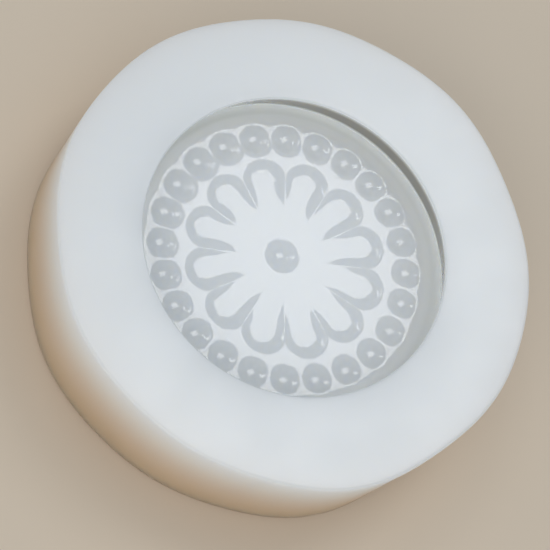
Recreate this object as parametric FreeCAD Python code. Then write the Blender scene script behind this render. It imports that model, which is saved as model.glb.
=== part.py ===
import FreeCAD, Part

import math
import os

# Silicone block mould for casting one round medallion: a twelve-petal flower inside a
# ring of half-round beads.  The block is one poured piece of rubber.
# Millimetres, +Z up and out of the cavity.  The origin is on the cavity's axis, on the
# flat underside.  One bead and one petal point along +X.

VECTOR = FreeCAD.Vector
Z_AXIS = VECTOR(0, 0, 1)
X_AXIS = VECTOR(1, 0, 0)
ORIGIN = VECTOR(0, 0, 0)

# The block.  Its outline is hand poured, so it is a little oval, lobed and off centre.
BLOCK_HEIGHT = 27.0
FACE_RADIUS = 51.0
BASE_RADIUS = 50.0
FACE_CENTRE = (0.4, -0.25)
BASE_CENTRE = (-0.4, 0.7)
OUTLINE_LOBES = (
    (2, 0.30, 180.0),
    (3, 0.15, 95.0),
    (5, 0.20, -130.0),
    (6, 0.18, 163.0),
    (9, 0.20, 270.0),
)
OUTLINE_POINTS = 72
FACE_EDGE_ROUND = 0.5
BASE_EDGE_ROUND = 1.0

# The cavity: a sharp round opening, a wall that leans in over it, and a flat floor whose
# outer border falls away to the crease at the foot of the wall.
CAVITY_DEPTH = 7.5
OPENING_RADIUS = 32.4
CREASE_RADIUS = 34.9
CREASE_DROP = 1.1
LAND_RADIUS = 30.9
BORDER_SAG = 0.35
LIP_ROUND = 0.35

# The ring of bead dents, each one a shallow cap of a sphere.
BEAD_COUNT = 24
BEAD_RING_RADIUS = 26.5
BEAD_RIM_RADIUS = 3.3
BEAD_DEPTH = 0.7

# The flower: petals with curved walls and one flat floor, which they share.  The ridges
# between the petals sink into that floor on the way to the axis.
PETAL_COUNT = 12
PETAL_TIP_RADIUS = 22.2
PETAL_HALF_WIDTH = 5.0
PETAL_DEPTH = 0.6
PETAL_EDGE_WIDTH = 3.6
RIDGE_FALL_PER_MM = 0.085

# The flower's eye, a shallow dent set slightly off the axis.
EYE_CENTRE = (-0.4, 0.9)
EYE_RIM_RADIUS = 3.9
EYE_DEPTH = 0.85

FLOOR_Z = BLOCK_HEIGHT - CAVITY_DEPTH
PETAL_FLOOR_Z = FLOOR_Z - PETAL_DEPTH
OVERCUT = 1.0


def cap_sphere_radius(rim_radius, depth):
    """Radius of the sphere whose cap has this rim and this depth."""
    return (rim_radius ** 2 + depth ** 2) / (2.0 * depth)


def block_outline(radius, centre, height):
    """Closed smooth outline of the hand-poured block at one height."""
    points = []
    for step in range(OUTLINE_POINTS):
        angle = 2.0 * math.pi * step / OUTLINE_POINTS
        reach = radius
        for order, amount, phase in OUTLINE_LOBES:
            reach += amount * math.cos(order * angle - math.radians(phase))
        x = centre[0] + reach * math.cos(angle)
        y = centre[1] + reach * math.sin(angle)
        points.append(VECTOR(x, y, height))
    curve = Part.BSplineCurve()
    curve.interpolate(Points=points, PeriodicFlag=True)
    return Part.Wire([curve.toShape()])


def is_level_edge(edge, height):
    """True for an edge that lies wholly at one height."""
    box = edge.BoundBox
    return abs(box.ZMin - height) < 0.01 and abs(box.ZMax - height) < 0.01


def block_blank():
    """The block before the cavity, with both outer edges rounded."""
    base = block_outline(BASE_RADIUS, BASE_CENTRE, 0.0)
    face = block_outline(FACE_RADIUS, FACE_CENTRE, BLOCK_HEIGHT)
    blank = Part.makeLoft([base, face], True, True)
    face_edges = [edge for edge in blank.Edges if is_level_edge(edge, BLOCK_HEIGHT)]
    blank = blank.makeFillet(FACE_EDGE_ROUND, face_edges)
    base_edges = [edge for edge in blank.Edges if is_level_edge(edge, 0.0)]
    return blank.makeFillet(BASE_EDGE_ROUND, base_edges)


def revolved(profile_edges):
    """Full turn of a closed profile about the Z axis."""
    face = Part.Face(Part.Wire(profile_edges))
    return face.revolve(ORIGIN, Z_AXIS, 360)


def cavity_cutter():
    """Everything inside the opening, the leaning wall and the sagging border."""
    floor_centre = VECTOR(0, 0, FLOOR_Z)
    land_edge = VECTOR(LAND_RADIUS, 0, FLOOR_Z)
    crease = VECTOR(CREASE_RADIUS, 0, FLOOR_Z - CREASE_DROP)
    border_middle = (land_edge + crease) * 0.5 - Z_AXIS * BORDER_SAG
    lip = VECTOR(OPENING_RADIUS, 0, BLOCK_HEIGHT)
    outside = VECTOR(OPENING_RADIUS, 0, BLOCK_HEIGHT + OVERCUT)
    top_centre = VECTOR(0, 0, BLOCK_HEIGHT + OVERCUT)
    return revolved([
        Part.makeLine(floor_centre, land_edge),
        Part.Arc(land_edge, border_middle, crease).toShape(),
        Part.makeLine(crease, lip),
        Part.makeLine(lip, outside),
        Part.makeLine(outside, top_centre),
        Part.makeLine(top_centre, floor_centre),
    ])


def cap_cutter(x, y, rim_height, rim_radius, depth):
    """A plug with a domed end, which cuts a dent of this rim and depth into a level surface."""
    radius = cap_sphere_radius(rim_radius, depth)
    sphere = Part.makeSphere(radius, VECTOR(x, y, rim_height - depth + radius))
    foot = VECTOR(x, y, rim_height - depth - OVERCUT)
    plug = Part.makeCylinder(rim_radius, depth + 2.0 * OVERCUT, foot)
    return plug.common(sphere)


def bead_cutters():
    """One plug for each bead of the ring."""
    cutters = []
    for index in range(BEAD_COUNT):
        angle = 2.0 * math.pi * index / BEAD_COUNT
        x = BEAD_RING_RADIUS * math.cos(angle)
        y = BEAD_RING_RADIUS * math.sin(angle)
        cutters.append(cap_cutter(x, y, FLOOR_Z, BEAD_RIM_RADIUS, BEAD_DEPTH))
    return cutters


def petal_half_profile():
    """Edges of a petal's half section in the XZ plane, from its middle to its rim."""
    depth = PETAL_DEPTH
    arc_radius = (PETAL_EDGE_WIDTH ** 2 + depth ** 2) / (2.0 * depth)
    arc_span = math.asin(PETAL_EDGE_WIDTH / arc_radius)
    arc_start = PETAL_HALF_WIDTH - PETAL_EDGE_WIDTH
    bottom = VECTOR(0, 0, PETAL_FLOOR_Z)
    foot = VECTOR(arc_start, 0, PETAL_FLOOR_Z)
    arc_x = arc_start + arc_radius * math.sin(arc_span / 2.0)
    arc_z = PETAL_FLOOR_Z + arc_radius * (1.0 - math.cos(arc_span / 2.0))
    rim = VECTOR(PETAL_HALF_WIDTH, 0, FLOOR_Z)
    over_rim = VECTOR(PETAL_HALF_WIDTH, 0, FLOOR_Z + 3.0 * OVERCUT)
    top = VECTOR(0, 0, FLOOR_Z + 3.0 * OVERCUT)
    return [
        Part.makeLine(bottom, foot),
        Part.Arc(foot, VECTOR(arc_x, 0, arc_z), rim).toShape(),
        Part.makeLine(rim, over_rim),
        Part.makeLine(over_rim, top),
        Part.makeLine(top, bottom),
    ]


def petal_sector():
    """The wedge of space, from the petal floor up, that one petal may take."""
    half_sector = math.radians(180.0 / PETAL_COUNT)
    far_x = PETAL_TIP_RADIUS + OVERCUT
    far_y = far_x * math.tan(half_sector)
    corners = [
        VECTOR(0, 0, PETAL_FLOOR_Z),
        VECTOR(far_x, far_y, PETAL_FLOOR_Z),
        VECTOR(far_x, -far_y, PETAL_FLOOR_Z),
    ]
    sector = Part.Face(Part.makePolygon(corners + corners[:1]))
    return sector.extrude(Z_AXIS * (PETAL_DEPTH + OVERCUT))


def petal_cutter():
    """The petal on the +X axis: a round tip, and a side wall along each ridge."""
    tip_centre = PETAL_TIP_RADIUS - PETAL_HALF_WIDTH
    half_sector = 180.0 / PETAL_COUNT
    tip = revolved(petal_half_profile())
    tip.translate(X_AXIS * tip_centre)
    wall = Part.Face(Part.Wire(petal_half_profile()))
    wall.rotate(ORIGIN, Z_AXIS, 90.0 + half_sector)
    wall.translate(X_AXIS * tip_centre)
    angle = math.radians(half_sector)
    inward = VECTOR(-math.cos(angle), -math.sin(angle), -RIDGE_FALL_PER_MM)
    channel = wall.extrude(inward * tip_centre)
    mirrored = channel.mirror(ORIGIN, VECTOR(0, 1, 0))
    petal = tip.multiFuse([channel, mirrored])
    return petal.common(petal_sector())


def flower_cutter():
    """All petals joined round the axis, and the eye below them."""
    petals = []
    for index in range(PETAL_COUNT):
        petal = petal_cutter()
        petal.rotate(ORIGIN, Z_AXIS, 360.0 * index / PETAL_COUNT)
        petals.append(petal)
    flower = petals[0].multiFuse(petals[1:]).removeSplitter()
    eye = cap_cutter(EYE_CENTRE[0], EYE_CENTRE[1], PETAL_FLOOR_Z, EYE_RIM_RADIUS, EYE_DEPTH)
    return flower.fuse(eye)


def round_lip(block):
    """Take the sharpness off the edge of the opening."""
    lip_edges = []
    for edge in block.Edges:
        inside = edge.BoundBox.XMax < OPENING_RADIUS + 0.1
        if inside and is_level_edge(edge, BLOCK_HEIGHT):
            lip_edges.append(edge)
    return block.makeFillet(LIP_ROUND, lip_edges)


def mould_block():
    """The whole mould."""
    block = block_blank().cut(cavity_cutter())
    block = round_lip(block)
    block = block.cut(flower_cutter())
    block = block.cut(Part.makeCompound(bead_cutters()))
    return block.removeSplitter()


def write_part(shape, name):
    """Write one sub-part as a STEP file named after its node."""
    solids = shape.Solids
    if len(solids) != 1 or not shape.isValid():
        raise RuntimeError("%s is not one valid solid" % name)
    solids[0].exportStep("parts/%s.step" % name)
    box = shape.BoundBox
    print("%s %.2f x %.2f x %.2f mm, %.1f cm3" % (
        name, box.XLength, box.YLength, box.ZLength, shape.Volume / 1000.0))


os.makedirs("parts", exist_ok=True)
write_part(mould_block(), "mould_block")
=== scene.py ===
import math

import bmesh
import bpy
import numpy as np
from mathutils import Matrix, Vector


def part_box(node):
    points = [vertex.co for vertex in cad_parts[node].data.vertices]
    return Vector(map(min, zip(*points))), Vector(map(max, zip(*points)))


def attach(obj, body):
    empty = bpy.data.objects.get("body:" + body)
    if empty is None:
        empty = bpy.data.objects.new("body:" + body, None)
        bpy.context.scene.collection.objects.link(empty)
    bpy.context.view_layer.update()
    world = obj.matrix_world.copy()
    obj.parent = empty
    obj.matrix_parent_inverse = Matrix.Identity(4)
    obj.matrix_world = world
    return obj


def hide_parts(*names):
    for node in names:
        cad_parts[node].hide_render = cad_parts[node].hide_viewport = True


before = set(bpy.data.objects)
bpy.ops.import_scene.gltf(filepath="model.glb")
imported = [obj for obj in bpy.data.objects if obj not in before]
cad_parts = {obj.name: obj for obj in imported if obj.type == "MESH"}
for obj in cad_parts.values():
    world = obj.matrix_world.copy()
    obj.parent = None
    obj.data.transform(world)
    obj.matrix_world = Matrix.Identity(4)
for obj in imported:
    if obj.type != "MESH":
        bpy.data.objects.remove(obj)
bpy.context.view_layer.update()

MM = 0.001

# The block.  Its outline is hand poured, so it is a little oval, lobed and off centre.
FACE_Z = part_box("mould_block")[1].z
FACE_RADIUS = 51.0 * MM
BASE_RADIUS = 50.0 * MM
FACE_CENTRE = (0.4 * MM, -0.25 * MM)
BASE_CENTRE = (-0.4 * MM, 0.7 * MM)
OUTLINE_LOBES = (
    (2, 0.30 * MM, 180.0),
    (3, 0.15 * MM, 95.0),
    (5, 0.20 * MM, -130.0),
    (6, 0.18 * MM, 163.0),
    (9, 0.20 * MM, 270.0),
)
FACE_EDGE_ROUND = 0.5 * MM
FACE_EDGE_CHANGE = 0.15 * MM
FACE_FALL = 0.45 * MM
FACE_FALL_BEARING = 128.0
SOFT_EDGE_BEARING = 255.0
BASE_EDGE_ROUND = 1.0 * MM

# The cavity: its opening, the wall that leans in over it, and the sagging border.
FLOOR_Z = FACE_Z - 7.5 * MM
OPENING_RADIUS = 32.4 * MM
LIP_ROUND = 0.35 * MM
CREASE_RADIUS = 34.9 * MM
CREASE_DROP = 1.1 * MM
CREASE_ROUND = 0.2 * MM
LAND_RADIUS = 29.9 * MM
LAND_CENTRE = (-0.28 * MM, 0.28 * MM)
BORDER_START = 31.2 * MM
BORDER_CREST = 0.6 * MM

# The ring of bead dents: a round bottom, then a rim that eases out to the level land.
BEADS = 24
BEAD_RING = 26.5 * MM
BEAD_SPHERE = 6.7 * MM
BEAD_BOTTOM = 2.95 * MM
BEAD_REACH = 4.05 * MM
BEAD_SADDLE = 0.62 * MM
CROWDED_BEARING = 117.0
CROWDED_BOTTOM = 0.22 * MM
CROWDED_REACH = 0.38 * MM

# The flower: each petal's wall climbs from a long soft foot to its rim, and fades inwards.
PETALS = 12
PETAL_TIP_CENTRE = 17.25 * MM
PETAL_HALF_WIDTH = 5.16 * MM
PETAL_DEPTH = 0.66 * MM
PETAL_WALL = 3.6 * MM
PETAL_RIM_SHARE = 0.22
PETAL_FOOT_SHARE = 0.75
RIDGE_CREST = 0.12 * MM
FADE_START = 6.2 * MM
FADE_END = 22.0 * MM
EYE_CENTRE = (-0.45 * MM, 0.88 * MM)
EYE_SPHERE = 6.0 * MM
EYE_BOTTOM = 2.1 * MM
EYE_REACH = 4.38 * MM

# The rubber's looks.  The wall's dark colour is painted shade, where the surroundings take the light; the
# side's colour is painted shade and warm bounce light, darker and warmer towards the bottom; and the
# border's lighter colour and its glow are painted light, standing for light that reaches the border
# through the rubber.
BODY_COOL = (0.86, 0.88, 0.89, 1.0)
BODY_WARM = (0.88, 0.89, 0.89, 1.0)
BORDER_PAINTED_LIGHT = (0.95, 0.965, 0.95, 1.0)
WALL_PAINTED_SHADE = (0.24, 0.215, 0.175, 1.0)
SIDE_PAINTED_WARM_SHADE = (0.69, 0.49, 0.31, 1.0)
BORDER_PAINTED_GLOW = (0.88, 1.0, 0.98, 1.0)
BORDER_PAINTED_GLOW_STRENGTH = 0.07
SCATTER_REACH = 20.0 * MM
SATIN_ROUGHNESS = 0.32
GLOSS_ROUGHNESS = 0.03
WAVE_DEPTH = 0.012 * MM
GRAIN_DEPTH = 0.004 * MM

# The camera: its long lens, what it looks at, its direction, its turn and its distance.
CAMERA_LENS = 186.0
CAMERA_TARGET = (-3.2 * MM, -3.4 * MM, FLOOR_Z)
CAMERA_VIEW = (0.3721, 0.2771, -0.8858)
CAMERA_TURN = 42.1
CAMERA_DISTANCE = 583.7 * MM

# How finely the mould's surface is divided.
ARC_STEPS = 16
SIDE_STEPS = 16
RIDGE_STEPS = 36
TURN_STEPS = ARC_STEPS * BEADS
FLOWER_RING = 22.6 * MM
HUB_RADIUS = 6.0 * MM


def smooth_max(a, b, width):
    """The larger of two values, with the corner between them rounded over a width."""
    share = np.clip(0.5 + 0.5 * (a - b) / width, 0.0, 1.0)
    return b + (a - b) * share + width * share * (1.0 - share)


def dent_depth(distance, sphere, bottom, reach):
    """Depth of a dent: part of a sphere, whose slope then eases to nothing at its reach."""
    steepest = bottom / np.sqrt(sphere ** 2 - bottom ** 2)
    rim_width = reach - bottom
    inside = np.minimum(distance, bottom)
    dome = np.sqrt(sphere ** 2 - inside ** 2) - np.sqrt(sphere ** 2 - bottom ** 2)
    run = np.clip(distance - bottom, 0.0, rim_width)
    return dome + steepest * (0.5 * rim_width - run + 0.5 * run ** 2 / rim_width)


def bead_depth(x, y):
    """Depth of the bead dents at a point, with soft saddles between neighbours."""
    angle = np.arctan2(y, x)
    step = 2.0 * math.pi / BEADS
    nearest = np.round(angle / step) * step
    side = np.where(angle > nearest, step, -step)
    depths = []
    for centre in (nearest, nearest + side):
        distance = np.hypot(x - BEAD_RING * np.cos(centre), y - BEAD_RING * np.sin(centre))
        crowding = (0.5 + 0.5 * np.cos(centre - math.radians(CROWDED_BEARING))) ** 6
        bottom = BEAD_BOTTOM + CROWDED_BOTTOM * crowding
        reach = BEAD_REACH + CROWDED_REACH * crowding
        depths.append(dent_depth(distance, BEAD_SPHERE, bottom, reach))
    return smooth_max(depths[0], depths[1], BEAD_SADDLE) - 0.25 * BEAD_SADDLE


def wall_share(inset):
    """Share of a petal's full depth at a distance inside its rim."""
    run = np.clip(inset / PETAL_WALL, 0.0, 1.0)
    steepest = 1.0 / (1.0 - 0.5 * PETAL_RIM_SHARE - 0.5 * PETAL_FOOT_SHARE)
    share = np.where(run < PETAL_RIM_SHARE, 0.5 * run ** 2 / PETAL_RIM_SHARE, run - 0.5 * PETAL_RIM_SHARE)
    foot = np.clip(run - 1.0 + PETAL_FOOT_SHARE, 0.0, None)
    return steepest * (share - 0.5 * foot ** 2 / PETAL_FOOT_SHARE)


def petal_share(radius, angle):
    """Share of the full depth at a place given by its radius and its angle off one petal's middle."""
    lean = math.pi / PETALS
    along = radius * np.cos(angle) - PETAL_TIP_CENTRE
    across = radius * np.sin(angle)
    tip_inset = PETAL_HALF_WIDTH - np.hypot(along, across)
    side_inset = PETAL_HALF_WIDTH + along * math.sin(lean) - across * math.cos(lean)
    beyond = along * math.cos(lean) + across * math.sin(lean) > 0.0
    return wall_share(np.where(beyond, tip_inset, side_inset))


def flower_depth(x, y):
    """Depth of the flower at a point, with ridges between petals that fade towards the axis."""
    radius = np.hypot(x, y)
    step = 2.0 * math.pi / PETALS
    angle = np.arctan2(y, x)
    off_middle = np.abs(angle - np.round(angle / step) * step)
    near = petal_share(radius, off_middle)
    far = petal_share(radius, step - off_middle)
    crest = RIDGE_CREST / PETAL_DEPTH
    share = smooth_max(near, far, crest) - 0.25 * crest * np.clip(1.0 - near / crest, 0.0, 1.0)
    fade = np.clip((radius - FADE_START) / (FADE_END - FADE_START), 0.0, 1.0)
    fade = fade ** 2 * (3.0 - 2.0 * fade)
    return PETAL_DEPTH * (1.0 - (1.0 - np.clip(share, 0.0, 1.0)) * fade)


def border_drop(radius):
    """How far the floor has fallen away towards the crease at a radius."""
    share = np.clip((radius - LAND_RADIUS) / (CREASE_RADIUS - LAND_RADIUS), 0.0, 1.0)
    return CREASE_DROP * share * (1.25 - 0.25 * share)


def floor_z(x, y):
    """Height of the cavity's floor, with all its relief, at a point."""
    land_radius = np.hypot(x - LAND_CENTRE[0], y - LAND_CENTRE[1])
    edge = smooth_max(bead_depth(x, y), border_drop(land_radius), BORDER_CREST)
    edge = edge - 0.25 * BORDER_CREST
    eye_distance = np.hypot(x - EYE_CENTRE[0], y - EYE_CENTRE[1])
    eye = dent_depth(eye_distance, EYE_SPHERE, EYE_BOTTOM, EYE_REACH)
    return FLOOR_Z - flower_depth(x, y) - edge - eye


def on_floor(x, y):
    """Points on the relief of the floor above a grid of places."""
    return np.stack([x, y, floor_z(x, y)], axis=-1)


def bead_patch(index):
    """Rings round one bead's centre, out to the edges of its own sector."""
    turn = 2.0 * math.pi * index / BEADS
    half = math.pi / BEADS
    arc = np.linspace(-half, half, ARC_STEPS + 1)
    side = np.linspace(0.0, 1.0, SIDE_STEPS + 1)
    side_radius = FLOWER_RING + (BORDER_START - FLOWER_RING) * side
    radius = np.concatenate([
        np.full(ARC_STEPS, FLOWER_RING),
        side_radius[:-1],
        np.full(ARC_STEPS, BORDER_START),
        side_radius[::-1],
    ])
    angle = turn + np.concatenate([
        arc[:-1],
        np.full(SIDE_STEPS, half),
        arc[:0:-1],
        np.full(SIDE_STEPS + 1, -half),
    ])
    edge = (radius * np.cos(angle), radius * np.sin(angle))
    centre = (BEAD_RING * math.cos(turn), BEAD_RING * math.sin(turn))
    reach = np.hypot(edge[0] - centre[0], edge[1] - centre[1])
    inner = BEAD_BOTTOM / reach
    inner_shares = np.sin(np.linspace(0.0, 1.0, 11) * math.pi / 2.0)
    outer_shares = np.linspace(0.0, 1.0, 11)[1:] ** 1.4
    rows = [inner * share for share in inner_shares]
    rows += [inner + (1.0 - inner) * share for share in outer_shares]
    rows = np.array(rows)
    x = centre[0] + (edge[0] - centre[0]) * rows
    y = centre[1] + (edge[1] - centre[1]) * rows
    return on_floor(x, y)


def petal_patch(index, side):
    """Half of one petal: lines from its middle out to the ridge and the flower's ring."""
    half = math.pi / PETALS
    arc = np.linspace(0.0, half, ARC_STEPS + 1)
    ridge = np.linspace(FLOWER_RING, HUB_RADIUS, RIDGE_STEPS + 1)[1:]
    radius = np.concatenate([np.full(ARC_STEPS + 1, FLOWER_RING), ridge])
    angle = np.concatenate([arc, np.full(RIDGE_STEPS, half)])
    edge = (radius * np.cos(angle), radius * np.sin(angle))
    middle = np.minimum(edge[0], PETAL_TIP_CENTRE)
    reach = np.hypot(edge[0] - middle, edge[1])
    rim = np.minimum(0.98 * PETAL_HALF_WIDTH, 0.90 * reach) / reach
    inner_shares = np.linspace(0.0, 1.0, 16)
    outer_shares = np.linspace(0.0, 1.0, 9)[1:] ** 1.3
    rows = [rim * share for share in inner_shares]
    rows += [rim + (1.0 - rim) * share for share in outer_shares]
    rows = np.array(rows)
    along = middle + (edge[0] - middle) * rows
    across = edge[1] * rows * side
    turn = 2.0 * math.pi * index / PETALS
    x = along * math.cos(turn) - across * math.sin(turn)
    y = along * math.sin(turn) + across * math.cos(turn)
    return on_floor(x, y)


def eye_patch():
    """Rings round the eye's centre, out to a plain ring inside the petals."""
    angle = np.linspace(0.0, 2.0 * math.pi, 97)
    ring = 0.93 * HUB_RADIUS
    reach_x = ring * np.cos(angle) - EYE_CENTRE[0]
    reach_y = ring * np.sin(angle) - EYE_CENTRE[1]
    reach = np.hypot(reach_x, reach_y)
    inner = 0.88 * EYE_REACH / reach
    rows = [inner * share for share in np.linspace(0.0, 1.0, 13)]
    rows += [inner + (1.0 - inner) * share for share in np.linspace(0.0, 1.0, 10)[1:]]
    rows = np.array(rows)
    return on_floor(EYE_CENTRE[0] + reach_x * rows, EYE_CENTRE[1] + reach_y * rows)


def outline(radius, centre, angle):
    """The hand-poured outline, as places at the given angles."""
    reach = np.full(np.shape(angle), radius)
    for order, amount, phase in OUTLINE_LOBES:
        reach = reach + amount * np.cos(order * angle - math.radians(phase))
    return centre[0] + reach * np.cos(angle), centre[1] + reach * np.sin(angle)


def face_edge_round(angle):
    """Rounding of the face's outer edge, which is softer on one side of the block."""
    bearing = angle - math.radians(SOFT_EDGE_BEARING)
    return FACE_EDGE_ROUND + FACE_EDGE_CHANGE * np.cos(bearing)


def turned(radius, z, angle):
    """One level ring."""
    return np.stack([radius * np.cos(angle), radius * np.sin(angle), np.full(np.shape(angle), z)], axis=-1)


def fillet(corner, before, after, radius, steps):
    """Points of an arc that rounds a corner of a profile."""
    corner = np.array(corner)
    first = np.array(before) - corner
    second = np.array(after) - corner
    first = first / np.linalg.norm(first)
    second = second / np.linalg.norm(second)
    half = 0.5 * math.acos(np.clip(first @ second, -1.0, 1.0))
    middle = (first + second) / np.linalg.norm(first + second)
    centre = corner + middle * radius / math.sin(half)
    begin = corner + first * radius / math.tan(half) - centre
    end = corner + second * radius / math.tan(half) - centre
    sweep = math.acos(np.clip(begin @ end / radius ** 2, -1.0, 1.0))
    points = []
    for share in np.linspace(0.0, 1.0, steps + 1):
        blend = math.sin((1.0 - share) * sweep) * begin + math.sin(share * sweep) * end
        points.append(centre + blend / math.sin(sweep))
    return points


def cavity_rings(angle):
    """Rings from the floor's border down to the crease, up the wall and round the lip."""
    rings = []
    border = np.linspace(BORDER_START, CREASE_RADIUS, 13)
    for radius in border[:-2]:
        x = radius * np.cos(angle)
        y = radius * np.sin(angle)
        rings.append(on_floor(x, y))
    last = (border[-3], FLOOR_Z - float(border_drop(border[-3])))
    crease = (CREASE_RADIUS, FLOOR_Z - CREASE_DROP)
    lip = (OPENING_RADIUS, FACE_Z)
    face = (OPENING_RADIUS + 2.0 * MM, FACE_Z)
    profile = fillet(crease, last, lip, CREASE_ROUND * 0.5, 6)
    foot = profile[-1]
    rounding = fillet(lip, crease, face, LIP_ROUND, 6)
    for share in np.linspace(0.0, 1.0, 11)[1:-1]:
        profile.append(foot + (rounding[0] - foot) * share)
    profile += rounding
    for radius, z in profile:
        rings.append(turned(radius, z, angle))
    return rings, profile[-1][0]


def outer_rings(angle, start_radius):
    """Rings across the face, over its edge, down the side and under the block."""
    rings = []
    base = np.stack(outline(BASE_RADIUS, BASE_CENTRE, angle), axis=-1)
    face = np.stack(outline(FACE_RADIUS, FACE_CENTRE, angle), axis=-1)
    start = np.stack([start_radius * np.cos(angle), start_radius * np.sin(angle)], axis=-1)
    outward = np.stack([np.cos(angle), np.sin(angle)], axis=-1)
    rounding = face_edge_round(angle)[:, None]
    inset = face - outward * rounding

    bearing = angle - math.radians(FACE_FALL_BEARING)
    fall = FACE_FALL * (0.5 + 0.5 * np.cos(bearing[:, None])) ** 2

    def ring(places, z):
        heights = np.broadcast_to(z, (len(angle), 1))
        return np.concatenate([places, heights], axis=1)

    for share in np.linspace(0.0, 1.0, 18)[1:]:
        rings.append(ring(start + (inset - start) * share, FACE_Z - fall * share ** 1.5))
    for share in np.linspace(0.0, 1.0, 9)[1:]:
        bend = share * math.pi / 2.0
        places = inset + outward * rounding * math.sin(bend)
        rings.append(ring(places, FACE_Z - fall - rounding * (1.0 - math.cos(bend))))
    top = FACE_Z - fall - rounding
    for share in np.linspace(0.0, 1.0, 22)[1:]:
        z = top + (BASE_EDGE_ROUND - top) * share
        places = base + (face - base) * z / FACE_Z
        blend = np.minimum(1.0, (top - z) / (3.0 * MM))
        rings.append(ring(face + (places - face) * blend, z))
    foot = rings[-1][:, :2] - outward * BASE_EDGE_ROUND
    for share in np.linspace(0.0, 1.0, 7)[1:]:
        bend = share * math.pi / 2.0
        places = foot + outward * BASE_EDGE_ROUND * math.cos(bend)
        rings.append(ring(places, BASE_EDGE_ROUND * (1.0 - math.sin(bend))))
    for share in np.linspace(1.0, 0.0, 13)[1:]:
        rings.append(ring(foot * share, 0.0))
    return rings


def add_grid(mesh, points):
    """Add a grid of points, and the quads between them, to a mesh being built."""
    rows, columns = points.shape[:2]
    verts = [[mesh.verts.new(place) for place in row] for row in points.tolist()]
    for row in range(rows - 1):
        for column in range(columns - 1):
            mesh.faces.new((
                verts[row][column],
                verts[row][column + 1],
                verts[row + 1][column + 1],
                verts[row + 1][column],
            ))


def mould_skin():
    """The whole surface of the mould as one closed mesh."""
    mesh = bmesh.new()
    for index in range(BEADS):
        add_grid(mesh, bead_patch(index))
    for index in range(PETALS):
        add_grid(mesh, petal_patch(index, 1.0))
        add_grid(mesh, petal_patch(index, -1.0))
    add_grid(mesh, eye_patch())
    angle = np.linspace(0.0, 2.0 * math.pi, TURN_STEPS + 1) - math.pi / BEADS
    cavity, start_radius = cavity_rings(angle)
    add_grid(mesh, np.array(cavity + outer_rings(angle, start_radius)))
    bmesh.ops.remove_doubles(mesh, verts=mesh.verts, dist=0.002 * MM)
    open_edges = [edge for edge in mesh.edges if edge.is_boundary]
    bmesh.ops.bridge_loops(mesh, edges=open_edges)
    bmesh.ops.recalc_face_normals(mesh, faces=mesh.faces)
    for polygon in mesh.faces:
        polygon.smooth = True
    data = bpy.data.meshes.new("casting_mould")
    mesh.to_mesh(data)
    mesh.free()
    skin = bpy.data.objects.new("casting_mould", data)
    bpy.context.scene.collection.objects.link(skin)
    return skin


# Materials ---------------------------------------------------------------------------


def new_material(name):
    """A node material with its output and one Principled shader."""
    material = bpy.data.materials.new(name)
    material.use_nodes = True
    tree = material.node_tree
    return material, tree, tree.nodes["Principled BSDF"]


def feed(tree, value, socket):
    """Set an input to a plain value, or link another node's output to it."""
    if isinstance(value, bpy.types.NodeSocket):
        tree.links.new(value, socket)
    else:
        socket.default_value = value


def object_place(tree):
    """The shaded point in the mould's own coordinates."""
    return tree.nodes.new("ShaderNodeTexCoord").outputs["Object"]


def ramp(tree, value, low, high, start=0.0, stop=1.0):
    """A smooth step from one value to another, as an input goes from low to high."""
    node = tree.nodes.new("ShaderNodeMapRange")
    node.interpolation_type = "SMOOTHSTEP"
    feed(tree, value, node.inputs["Value"])
    node.inputs["From Min"].default_value = low
    node.inputs["From Max"].default_value = high
    feed(tree, start, node.inputs["To Min"])
    feed(tree, stop, node.inputs["To Max"])
    return node.outputs["Result"]


def combine(tree, operation, first, second):
    """One arithmetic step."""
    node = tree.nodes.new("ShaderNodeMath")
    node.operation = operation
    feed(tree, first, node.inputs[0])
    feed(tree, second, node.inputs[1])
    return node.outputs["Value"]


def cloud(tree, size, detail=2.0):
    """Soft noise between 0 and 1, with features of about one size."""
    node = tree.nodes.new("ShaderNodeTexNoise")
    tree.links.new(object_place(tree), node.inputs["Vector"])
    node.inputs["Scale"].default_value = 1.0 / size
    node.inputs["Detail"].default_value = detail
    return node.outputs["Fac"]


def tint(tree, share, first, second):
    """A colour between two others."""
    node = tree.nodes.new("ShaderNodeMix")
    node.data_type = "RGBA"
    feed(tree, share, node.inputs["Factor"])
    feed(tree, first, node.inputs["A"])
    feed(tree, second, node.inputs["B"])
    return node.outputs["Result"]


def bump(tree, height, depth, normal=None):
    """Small relief that only tilts the shading."""
    node = tree.nodes.new("ShaderNodeBump")
    feed(tree, height, node.inputs["Height"])
    feed(tree, depth, node.inputs["Distance"])
    if normal is not None:
        tree.links.new(normal, node.inputs["Normal"])
    return node.outputs["Normal"]


def multiply(tree, first, second):
    """The product of two values or outputs."""
    return combine(tree, "MULTIPLY", first, second)


def subtract(tree, first, second):
    """The difference of two values or outputs."""
    return combine(tree, "SUBTRACT", first, second)


def place_in_mould(tree):
    """Height of the shaded point, and its distance from the cavity's axis."""
    split = tree.nodes.new("ShaderNodeSeparateXYZ")
    tree.links.new(object_place(tree), split.inputs["Vector"])
    x_squared = multiply(tree, split.outputs["X"], split.outputs["X"])
    y_squared = multiply(tree, split.outputs["Y"], split.outputs["Y"])
    radius = combine(tree, "POWER", combine(tree, "ADD", x_squared, y_squared), 0.5)
    return split.outputs["Z"], radius


def inside_cavity(tree, height, radius):
    """1 on the floor and walls of the cavity, and 0 on the face, the side and the underside."""
    below_face = ramp(tree, height, FACE_Z - 0.5 * MM, FACE_Z - 0.2 * MM, 1.0, 0.0)
    above_floor = ramp(tree, height, FLOOR_Z - 3.5 * MM, FLOOR_Z - 2.5 * MM)
    within = ramp(tree, radius, CREASE_RADIUS + 1.0 * MM, CREASE_RADIUS + 2.0 * MM, 1.0, 0.0)
    return multiply(tree, multiply(tree, below_face, above_floor), within)


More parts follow.
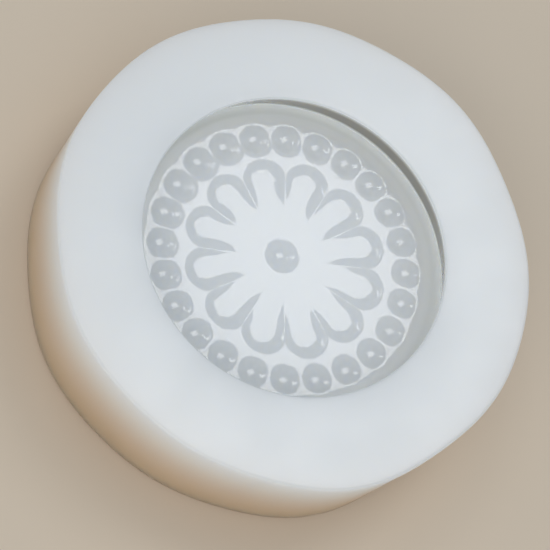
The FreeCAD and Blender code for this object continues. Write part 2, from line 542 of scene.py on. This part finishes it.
def silicone_material():
    """Poured translucent silicone: glossy inside the cavity, satin outside, with painted shade on the wall
    and side and painted light on the border.
    """
    material, tree, shader = new_material("silicone")
    height, radius = place_in_mould(tree)
    cavity = inside_cavity(tree, height, radius)
    # Mask of the wall under the lip, whose colour is painted shade.
    under_lip = ramp(tree, radius, OPENING_RADIUS - 0.5 * MM, OPENING_RADIUS + 0.8 * MM)
    raised = ramp(tree, height, FLOOR_Z - 0.9 * MM, FLOOR_Z + 1.0 * MM)
    painted_shade_on_wall = multiply(tree, multiply(tree, raised, cavity), under_lip)
    # Mask of the border, whose lighter colour and glow are painted light.
    past_land = ramp(tree, radius, LAND_RADIUS - 1.0 * MM, LAND_RADIUS + 1.5 * MM)
    painted_light_on_border = multiply(tree, cavity, past_land)
    # Mask of the side and underside, whose colour is painted shade and warm bounce light, darker and
    # warmer towards the bottom.
    low = ramp(tree, height, 2.0 * MM, FACE_Z + 3.0 * MM, 1.0, 0.0)
    painted_shade_low_side = multiply(tree, low, subtract(tree, 1.0, cavity))

    colour = tint(tree, cloud(tree, 30.0 * MM), BODY_COOL, BODY_WARM)
    # Painted shade and warm bounce light on the side, stronger towards the bottom.
    colour = tint(tree, painted_shade_low_side, colour, SIDE_PAINTED_WARM_SHADE)
    # Painted light: the border is coloured lighter than the body.
    colour = tint(tree, painted_light_on_border, colour, BORDER_PAINTED_LIGHT)
    # Painted shade: the wall under the lip is coloured dark.
    colour = tint(tree, painted_shade_on_wall, colour, WALL_PAINTED_SHADE)
    feed(tree, colour, shader.inputs["Base Color"])

    # Painted light: the border glows, except where the wall's painted shade lies.
    painted_glow_on_border = subtract(tree, painted_light_on_border, multiply(tree, painted_light_on_border, painted_shade_on_wall))
    shader.inputs["Emission Color"].default_value = BORDER_PAINTED_GLOW
    feed(tree, multiply(tree, painted_glow_on_border, BORDER_PAINTED_GLOW_STRENGTH), shader.inputs["Emission Strength"])

    satin_cloud = cloud(tree, 14.0 * MM, 3.0)
    gloss_cloud = cloud(tree, 9.0 * MM, 3.0)
    satin = ramp(tree, satin_cloud, 0.3, 0.7, SATIN_ROUGHNESS - 0.04, SATIN_ROUGHNESS + 0.04)
    gloss = ramp(tree, gloss_cloud, 0.3, 0.7, GLOSS_ROUGHNESS - 0.01, GLOSS_ROUGHNESS + 0.01)
    feed(tree, ramp(tree, cavity, 0.0, 1.0, satin, gloss), shader.inputs["Roughness"])

    waves = bump(tree, cloud(tree, 9.0 * MM), WAVE_DEPTH)
    grain_depth = ramp(tree, cavity, 0.0, 1.0, GRAIN_DEPTH, 0.0)
    grain = bump(tree, cloud(tree, 1.2 * MM, 4.0), grain_depth, waves)
    feed(tree, grain, shader.inputs["Normal"])

    shader.inputs["IOR"].default_value = 1.5
    shader.inputs["Specular IOR Level"].default_value = 0.8
    shader.inputs["Subsurface Weight"].default_value = 1.0
    shader.inputs["Subsurface Radius"].default_value = (1.0, 0.95, 0.85)
    shader.inputs["Subsurface Scale"].default_value = SCATTER_REACH
    return material


def floor_material():
    """Plain pale studio floor."""
    material, tree, shader = new_material("studio_floor")
    colour = tint(tree, cloud(tree, 60.0 * MM), (0.74, 0.62, 0.49, 1.0), (0.78, 0.66, 0.53, 1.0))
    feed(tree, colour, shader.inputs["Base Color"])
    shader.inputs["Roughness"].default_value = 0.9
    shader.inputs["Specular IOR Level"].default_value = 0.1
    return material


# Stage, light and camera ---------------------------------------------------------------


def add_floor():
    """A pale floor under the mould."""
    mesh = bmesh.new()
    bmesh.ops.create_grid(mesh, x_segments=1, y_segments=1, size=3.0)
    data = bpy.data.meshes.new("studio_floor")
    mesh.to_mesh(data)
    mesh.free()
    data.materials.append(floor_material())
    studio_floor = bpy.data.objects.new("studio_floor", data)
    bpy.context.scene.collection.objects.link(studio_floor)


def add_softbox(name, tilt_x, tilt_y, distance, width, height, turn, brightness, colour=(1.0, 1.0, 1.0)):
    """A rectangular light aimed at the cavity from a direction given as two tilts from upright.

    Its width lies along +X before it is turned, seen from below.
    """
    data = bpy.data.lights.new(name, "AREA")
    data.shape = "RECTANGLE"
    data.size = width
    data.size_y = height
    data.energy = brightness * math.pi * width * height
    data.color = colour
    light = bpy.data.objects.new(name, data)
    direction = Vector((math.tan(math.radians(tilt_x)), math.tan(math.radians(tilt_y)), 1.0)).normalized()
    light.location = Vector((0.0, 0.0, FLOOR_Z)) + direction * distance
    light.rotation_mode = "QUATERNION"
    across = (Vector((1.0, 0.0, 0.0)) - direction * direction.x).normalized()
    up = direction.cross(across)
    facing = Matrix((across, up, direction)).transposed() @ Matrix.Rotation(math.radians(turn), 3, "Z")
    light.rotation_quaternion = facing.to_quaternion()
    bpy.context.scene.collection.objects.link(light)
    return light


def add_world():
    """Dim even surroundings."""
    world = bpy.data.worlds.new("surroundings")
    world.use_nodes = True
    background = world.node_tree.nodes["Background"]
    background.inputs["Color"].default_value = (0.44, 0.49, 0.535, 1.0)
    background.inputs["Strength"].default_value = 1.0
    bpy.context.scene.world = world


def add_camera():
    """A long lens that looks down into the mould from one side, turned on its axis."""
    data = bpy.data.cameras.new("camera")
    data.lens = CAMERA_LENS
    camera = bpy.data.objects.new("camera", data)
    view = Vector(CAMERA_VIEW).normalized()
    place = Vector(CAMERA_TARGET) - view * CAMERA_DISTANCE
    roll = Matrix.Rotation(math.radians(CAMERA_TURN), 3, "Z")
    turn = view.to_track_quat("-Z", "Y").to_matrix() @ roll
    camera.matrix_world = Matrix.Translation(place) @ turn.to_4x4()
    bpy.context.scene.collection.objects.link(camera)
    bpy.context.scene.camera = camera


mould = mould_skin()
mould.data.materials.append(silicone_material())
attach(mould, "root")
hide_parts("mould_block")

add_floor()
add_world()
add_softbox("overhead_softbox", 24.7, 14.0, 1.5, 0.63, 0.46, 18.4, 2.75)
add_softbox("window_pane_left", -13.0, 30.0, 1.6, 0.11, 0.36, -10.0, 3.0)
add_softbox("window_pane_right", -3.0, 29.0, 1.6, 0.11, 0.36, -10.0, 3.0)
add_softbox("side_fill", -42.4, -37.5, 1.6, 1.3, 1.3, 0.0, 1.1, (1.0, 0.93, 0.84))
add_camera()
bpy.context.scene.view_settings.view_transform = "Standard"
